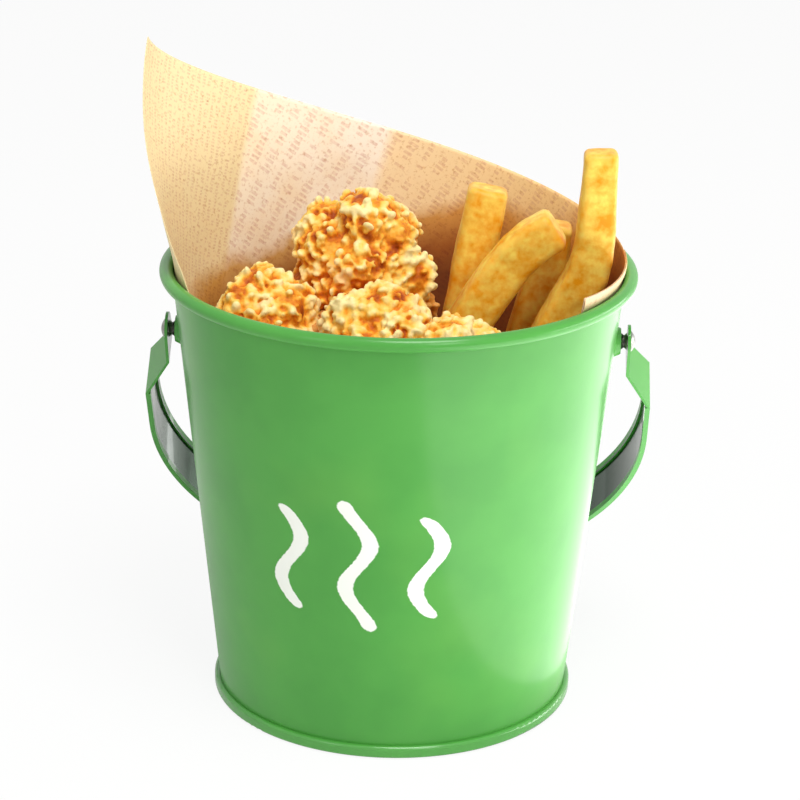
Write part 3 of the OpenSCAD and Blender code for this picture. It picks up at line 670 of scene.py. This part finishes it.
browned = add(tree, "MapRange", {"Value": browned, "From Min": 0.2, "From Max": 0.8,
                                 "To Max": 0.5}).outputs[0]
colour = add(tree, "MixRGB", {"Fac": browned, "Color1": sides.outputs["Color"],
                              "Color2": linear(FRY_BROWN)})
tree.links.new(colour.outputs["Color"], shader.inputs["Base Color"])
bump = add(tree, "Bump", {"Height": fleck.outputs["Fac"], "Strength": 0.45, "Distance": 0.3 * MM})
tree.links.new(bump.outputs["Normal"], shader.inputs["Normal"])
shader.inputs["Roughness"].default_value = 0.42
shader.inputs["Specular IOR Level"].default_value = 0.25
shader.inputs["Subsurface Weight"].default_value = 0.2
shader.inputs["Subsurface Radius"].default_value = (4.0 * MM, 2.2 * MM, 0.6 * MM)
for number, node in enumerate(("fry_back", "fry_leaning", "fry_shaded", "fry_tall")):
    piece = fried_stick(node, 0.6 * MM, 7 * number)
    piece.data.materials.append(fry_finish)
    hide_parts(node)
    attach(piece, "pail")

# Studio. A wide pale floor under a white surround, with five soft lamps: a broad one from the front
# right, a weaker one from the left, a strip low at the right, a panel lying on the floor at the right,
# which gives the pail its sheen, and one overhead.
PART_MIDDLE = (0, 0, 0.09)
floor_mesh = bpy.data.meshes.new("floor")
floor_mesh.from_pydata([(-4, -4, 0), (4, -4, 0), (4, 4, 0), (-4, 4, 0)], [], [(0, 1, 2, 3)])
floor = bpy.data.objects.new("floor", floor_mesh)
floor.location.z = -0.2 * MM
bpy.context.scene.collection.objects.link(floor)
floor_finish, tree, shader = start_material("white_paper_backdrop")
shader.inputs["Base Color"].default_value = linear("#f6f6f4")
shader.inputs["Roughness"].default_value = 0.9
ray = add(tree, "LightPath").outputs
mirrored = add(tree, "Math", {0: ray["Is Glossy Ray"], 1: ray["Is Transmission Ray"]},
               operation="MAXIMUM").outputs[0]
mirrored = add(tree, "Math", {0: mirrored, 1: 0.25}, operation="MULTIPLY").outputs[0]
shown = add(tree, "Math", {0: ray["Is Camera Ray"], 1: 0.9}, operation="MULTIPLY").outputs[0]
shown = add(tree, "Math", {0: shown, 1: mirrored}, operation="MAXIMUM").outputs[0]
white = add(tree, "Emission", {"Color": (1, 1, 1, 1), "Strength": 1.0})
both = add(tree, "MixShader", {"Fac": shown, 1: shader.outputs["BSDF"], 2: white.outputs["Emission"]})
tree.links.new(both.outputs["Shader"], tree.nodes["Material Output"].inputs["Surface"])
floor_mesh.materials.append(floor_finish)

world = bpy.data.worlds.new("white_surround")
bpy.context.scene.world = world
world.use_nodes = True
tree = world.node_tree
ray = add(tree, "LightPath").outputs
shown = add(tree, "Math", {0: ray["Is Camera Ray"], 1: ray["Is Glossy Ray"]},
            operation="MAXIMUM").outputs[0]
shown = add(tree, "Math", {0: shown, 1: ray["Is Transmission Ray"]}, operation="MAXIMUM").outputs[0]
level = add(tree, "MapRange", {"Value": shown, "To Min": 0.42, "To Max": 1.0}).outputs[0]
backdrop = tree.nodes["Background"]
backdrop.inputs["Color"].default_value = (1, 1, 1, 1)
tree.links.new(level, backdrop.inputs["Strength"])

for name, spot, target, width, height, power in (
        ("key_softbox", (0.45, -0.95, 0.75), PART_MIDDLE, 0.3, 0.5, 2.8),
        ("left_softbox", (-0.6, -0.8, 0.6), PART_MIDDLE, 0.2, 0.5, 0.8),
        ("right_strip", (0.7, 0.15, 0.09), PART_MIDDLE, 0.8, 0.16, 2.5),
        ("right_panel", (0.237, -0.02, 0.003), (0.237, -0.02, 1.003), 0.36, 0.6, 1.4),
        ("top_softbox", (0.15, -0.35, 1.1), PART_MIDDLE, 0.45, 0.45, 7.8)):
    lamp = bpy.data.lights.new(name, "AREA")
    lamp.shape = "RECTANGLE"
    lamp.size = width
    lamp.size_y = height
    lamp.energy = power
    softbox = bpy.data.objects.new(name, lamp)
    softbox.location = spot
    aim = Vector(target) - Vector(spot)
    softbox.rotation_euler = aim.to_track_quat("-Z", "Y").to_euler()
    bpy.context.scene.collection.objects.link(softbox)

# Camera. At the photograph's viewing angle: a long lens looking down over the rim, rolled by a degree.
VIEW_FROM = 813.7 * MM
VIEW_CENTRE = Vector((0, 0, 62.5 * MM))
VIEW_ELEVATION = math.radians(21.958)
VIEW_AZIMUTH = math.radians(2.0)
VIEW_HEADING = math.radians(1.927)
VIEW_PITCH = math.radians(20.480)
VIEW_ROLL = math.radians(1.018)
lens = bpy.data.cameras.new("camera")
lens.sensor_width = 36.0
lens.lens = 130.99
camera = bpy.data.objects.new("camera", lens)
stand = VIEW_CENTRE + VIEW_FROM * Vector((
    math.cos(VIEW_ELEVATION) * math.sin(VIEW_AZIMUTH),
    -math.cos(VIEW_ELEVATION) * math.cos(VIEW_AZIMUTH),
    math.sin(VIEW_ELEVATION)))
camera.matrix_world = (Matrix.Translation(stand) @ Matrix.Rotation(VIEW_HEADING, 4, "Z")
                       @ Matrix.Rotation(math.pi / 2 - VIEW_PITCH, 4, "X")
                       @ Matrix.Rotation(VIEW_ROLL, 4, "Z"))
bpy.context.scene.collection.objects.link(camera)
bpy.context.scene.camera = camera
bpy.context.scene.view_settings.view_transform = "Standard"
